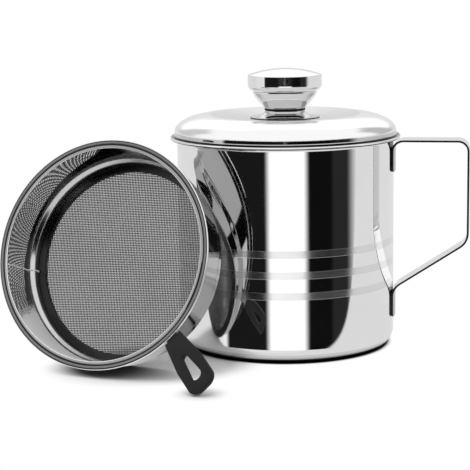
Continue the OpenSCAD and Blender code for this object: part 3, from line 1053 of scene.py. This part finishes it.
    def seam(self) -> None:
        """Lays the weld bead that runs down the inside of the wall."""
        inner = self.wall_radius - self.sheet
        low = self.low_radius - self.sheet
        clear = 2 * self.seam_radius
        steps = 12
        line = [
            (inner, -self.seam_from), (inner, clear - self.upper_depth),
            (low, -self.upper_depth - self.step_height - clear),
            (low, clear - self.floor_at + self.clamp_height),
        ]
        run = []
        for (r0, z0), (r1, z1) in zip(line, line[1:]):
            run += [(r0 + (r1 - r0) * k / steps, z0 + (z1 - z0) * k / steps) for k in range(steps)]
        run.append(line[-1])
        bead = []
        for k, (r, z) in enumerate(run):
            angle = math.radians(self.seam_bearing + self.seam_wobble * math.sin(k * 1.3))
            bead.append((r * math.cos(angle), r * math.sin(angle), z))
        curve = new_curve("wall_seam", self.seam_radius, 2)
        curve.use_fill_caps = True
        add_line(curve, bead)
        piece = link(curve_mesh(curve, self.leaning), [self.finishes.seam])
        self.fit(piece, Slot.SATIN)

    def grip(self) -> None:
        """Moulds the black grip with its drop-shaped slot and soft edges."""
        soft = self.grip_soft
        corner_x = self.grip_length - self.grip_corner
        corner_y = self.grip_side - self.grip_corner
        outline = [(self.grip_start, -self.grip_root), (self.grip_taper, -self.grip_side)]
        outline += arc((corner_x, -corner_y), self.grip_corner, -90, 0, 10)
        outline += arc((corner_x, corner_y), self.grip_corner, 0, 90, 10)
        outline += [(self.grip_taper, self.grip_side), (self.grip_start, self.grip_root)]
        flank = math.degrees(math.asin((self.slot_big - self.slot_small) / self.slot_length))
        far = self.slot_at + self.slot_length
        slot = arc((far, 0.0), self.slot_big, 90 + flank, -90 - flank, 24)
        slot += arc((self.slot_at, 0.0), self.slot_small, 270 - flank, 90 + flank, 16)
        curve = new_curve("strainer_grip", soft, 3, flat=True)
        curve.fill_mode = "BOTH"
        curve.extrude = (self.grip_sheet / 2 - soft) * MM
        curve.offset = -soft * MM
        for loop in (outline, slot):
            add_line(curve, sharp(loop), closed=True)
        hinge = (self.radius + self.hinge_out, 0.0, -self.rim_sheet - self.tang_sheet / 2)
        turn = self.leaning @ turned(self.grip_turn - 90, "Z")
        where = turn @ Matrix.Translation(Vector(hinge) * MM) @ turned(-self.grip_bend, "Y")
        mesh = curve_mesh(curve, where)
        bm = bmesh.new()
        bm.from_mesh(mesh)
        bmesh.ops.remove_doubles(bm, verts=bm.verts, dist=1e-6)
        bmesh.ops.recalc_face_normals(bm, faces=bm.faces)
        bpy.data.meshes.remove(mesh)
        piece = place(bm, "strainer_grip", [self.finishes.plastic], sharp_deg=40)
        self.fit(piece, Slot.PLASTIC, "grip_sleeve")


# ---------------- studio


@dataclass(frozen=True)
class Panel:
    """A soft-edged patch of the studio, by direction from the object.

    Args:
        bearing: Its sides in degrees, 0 at the camera and 90 at the right.
        height: Its lower and upper edge in degrees above the horizon.
        level: Its brightness, where 1 is white.
        soft: Width of its soft edges in degrees, across and up.
    """

    bearing: Pair
    height: Pair
    level: float
    soft: Pair = (3.0, 3.0)


@dataclass(frozen=True)
class Tabletop(Finish):
    """Pale floor that keeps the shadows near the object and is white further out, with painted shadow
    round the pot's foot and painted shade where pieces come close.

    Mirror-like steel sees it beside and behind the pot, and the dark room in front of it. Lengths are
    in metres from the pot's middle. A pair says where a shade begins to fade and where it has gone.

    Args:
        tone: The floor's brightness in mirror-like steel.
        painted_foot_shadow: The dark line round the pot's foot, a painted contact shadow.
        painted_foot_shadow_tones: Brightness of that painted shadow and of the paint outside it.
        pot_shade: The shaded floor round the pot.
        pool_middle: Middle of the shaded oval under the strainer.
        pool_bearing: Turn of that oval in degrees.
        pool_reach: Its half axes.
        pool_shade: Its shade, in shares of the half axes.
        tip_at: Where the grip's tip stands.
        tip_shade: The shade round that tip.
        contact_reach: How near a piece has to be for the painted shade to darken the floor paint.
        contact_open: Openness at which that painted shade is darkest and at which the floor is pale.
        contact_tone: Brightness of the floor paint at its darkest painted shade.
        table_edge: Where the table ends in front of the pot, for reflected light.
        table_slope: Slant of that edge.
        table_blur: Start and end of the blur over that edge.
    """

    tone: float = 0.8
    painted_foot_shadow: Pair = (0.0562, 0.0588)
    painted_foot_shadow_tones: Pair = (0.06, 0.97)
    pot_shade: Pair = (0.0562, 0.06)
    pool_middle: Pair = (-0.07, -0.055)
    pool_bearing: float = 20.0
    pool_reach: Pair = (0.05, 0.038)
    pool_shade: Pair = (0.8, 1.3)
    tip_at: Pair = (-0.043, -0.117)
    tip_shade: Pair = (0.004, 0.016)
    contact_reach: float = 0.03
    contact_open: Pair = (0.1, 0.5)
    contact_tone: float = 0.04
    table_edge: float = -0.0712
    table_slope: float = -0.16
    table_blur: Pair = (-0.002, 0.004)

    def surface(self, w: Wiring) -> Socket:
        """Wires paint near the object with painted shade, white further out and nothing off the table.
        """
        spot = w.add("TexCoord").outputs["Object"]
        ray = w.add("LightPath").outputs
        part = w.add("SeparateXYZ", {0: spot}).outputs
        oval = w.add("Mapping", {
            "Vector": spot, "Location": (*self.pool_middle, 0.0),
            "Rotation": (0.0, 0.0, math.radians(self.pool_bearing)), "Scale": (*self.pool_reach, 1.0),
        }, vector_type="TEXTURE").outputs[0]
        pool = w.add("VectorMath", {0: oval}, operation="LENGTH").outputs["Value"]
        foot = w.add("VectorMath", {0: spot}, operation="LENGTH").outputs["Value"]
        tip = w.add("VectorMath", {0: spot, 1: (*self.tip_at, 0.0)}, operation="DISTANCE")
        clear_of = w.math("MINIMUM", w.ease(pool, *self.pool_shade), w.ease(foot, *self.pot_shade))
        clear_of = w.math("MINIMUM", clear_of, w.ease(tip.outputs["Value"], *self.tip_shade))
        # Painted shadow: the floor paint turns dark in a ring round the pot's foot.
        painted_foot_shade = w.ease(foot, *self.painted_foot_shadow, *self.painted_foot_shadow_tones)
        # Painted shade: ambient occlusion darkens the floor paint where a piece comes close.
        near = w.add("AmbientOcclusion", {"Distance": self.contact_reach}).outputs["AO"]
        shade = w.math("MULTIPLY", painted_foot_shade, w.span(near, *self.contact_open, self.contact_tone, 1.0))
        paint = w.add("BsdfDiffuse", {"Color": w.blend(shade, grey(0.0), grey(1.0))})
        strength = w.span(ray["Is Camera Ray"], 0.0, 1.0, self.tone, 1.0)
        white = w.add("Emission", {"Color": grey(1.0), "Strength": strength})
        seen_by = w.math("ADD", ray["Is Camera Ray"], ray["Is Glossy Ray"])
        fade = w.math("MULTIPLY", clear_of, seen_by)
        seen = w.add("MixShader", {0: fade, 1: paint.outputs[0], 2: white.outputs[0]})
        edge = w.math("MULTIPLY_ADD", part[0], self.table_slope, self.table_edge)
        off_table = w.ease(w.math("SUBTRACT", edge, part[1]), *self.table_blur)
        hidden = w.math("MULTIPLY", off_table, ray["Is Glossy Ray"])
        clear = w.add("BsdfTransparent")
        return w.add("MixShader", {0: hidden, 1: seen.outputs[0], 2: clear.outputs[0]}).outputs[0]


@dataclass
class Studio:
    """The floor, the room that the steel reflects, and the camera."""

    tabletop: Tabletop = Tabletop("studio_floor")
    floor_radius: float = 12.0
    floor_drop: float = 0.0002
    room_level: float = 1.0
    panels: tuple[Panel, ...] = (
        Panel((-400.0, 400.0), (-95.0, -16.0), 0.85),
        Panel((66.0, 182.0), (-18.0, 14.0), 0.76, (14.0, 4.0)),
        Panel((-182.0, -70.0), (-18.0, 14.0), 0.86, (6.0, 4.0)),
        Panel((125.0, 400.0), (-12.0, 17.0), 0.76, (16.0, 6.0)),
        Panel((-400.0, -125.0), (-12.0, 17.0), 0.76, (16.0, 6.0)),
        Panel((112.0, 150.0), (6.0, 45.0), 0.5, (12.0, 6.0)),
        Panel((-150.0, -112.0), (6.0, 45.0), 0.6, (12.0, 6.0)),
        Panel((146.0, 400.0), (16.0, 60.0), 1.2, (10.0, 6.0)),
        Panel((-400.0, -146.0), (16.0, 60.0), 1.2, (10.0, 6.0)),
        Panel((-66.0, 0.0), (-16.5, 14.0), 0.01, (6.0, 2.0)),
        Panel((0.0, 74.0), (-16.5, 14.0), 0.022, (15.0, 2.0)),
        Panel((0.0, 50.0), (-16.5, 14.0), 0.005, (6.0, 2.0)),
        Panel((-18.7, 21.4), (-16.5, -6.4), 1.25, (8.0, 0.8)),
    )
    lens: float = 124.56
    camera_at: Triple = (0.0, -0.9, 0.21353)
    yaw: float = -1.820
    pitch: float = 9.673
    roll: float = -0.768

    def build(self) -> None:
        """Sets up the studio."""
        self.room()
        self.floor()
        self.camera()
        bpy.context.scene.view_settings.view_transform = "Standard"

    def room(self) -> None:
        """Makes the world: white to the camera, and panels by direction to everything else."""
        world = bpy.data.worlds.new("studio_room")
        world.use_nodes = True
        bpy.context.scene.world = world
        w = Wiring(world.node_tree)
        look = w.add("SeparateXYZ", {0: w.add("TexCoord").outputs["Generated"]})
        ahead = w.math("MULTIPLY", look.outputs[1], -1.0)
        bearing = w.math("MULTIPLY", w.math("ARCTAN2", look.outputs[0], ahead), math.degrees(1))
        height = w.math("MULTIPLY", w.math("ARCSINE", look.outputs[2]), math.degrees(1))
        level = self.room_level
        for panel in self.panels:
            mask = w.math(
                "MULTIPLY", self.within(w, bearing, panel.bearing, panel.soft[0]),
                self.within(w, height, panel.height, panel.soft[1]),
            )
            level = w.add("Mix", {0: mask, 2: level, 3: panel.level}, data_type="FLOAT").outputs[0]
        lit = w.add("Background", {"Color": level, "Strength": 1.0})
        white = w.add("Background", {"Color": grey(1.0), "Strength": 1.0})
        seen = w.add("LightPath").outputs["Is Camera Ray"]
        both = w.add("MixShader", {0: seen, 1: lit.outputs[0], 2: white.outputs[0]})
        w.add("OutputWorld", {"Surface": both.outputs[0]})

    @staticmethod
    def within(w: Wiring, value: Socket, limits: Pair, soft: float) -> Socket:
        """A mask that is 1 between the limits, with soft edges."""
        rise = w.ease(value, limits[0] - soft / 2, limits[0] + soft / 2)
        fall = w.ease(value, limits[1] - soft / 2, limits[1] + soft / 2, 1.0, 0.0)
        return w.math("MULTIPLY", rise, fall)

    def floor(self) -> None:
        """Lays the floor just under the object."""
        bm = bmesh.new()
        bmesh.ops.create_circle(bm, cap_ends=True, segments=96, radius=self.floor_radius)
        bmesh.ops.translate(bm, verts=bm.verts, vec=(0, 0, -self.floor_drop))
        place(bm, "floor", [self.tabletop])

    def camera(self) -> None:
        """Places the camera at the photograph's viewing angle."""
        data = bpy.data.cameras.new("camera")
        data.lens = self.lens
        data.sensor_width = 36.0
        data.clip_start = 0.01
        data.clip_end = 50.0
        camera = bpy.data.objects.new("camera", data)
        aim = turned(-self.yaw, "Z") @ turned(90 - self.pitch, "X") @ turned(self.roll, "Z")
        camera.matrix_world = Matrix.Translation(self.camera_at) @ aim
        bpy.context.scene.collection.objects.link(camera)
        bpy.context.scene.camera = camera


def main() -> None:
    logging.basicConfig(level=logging.INFO, format="%(name)s: %(message)s")
    for assembly in (Pot(), Lid(), Strainer()):
        assembly.build()
    Studio().build()


if __name__ == "__main__":
    main()
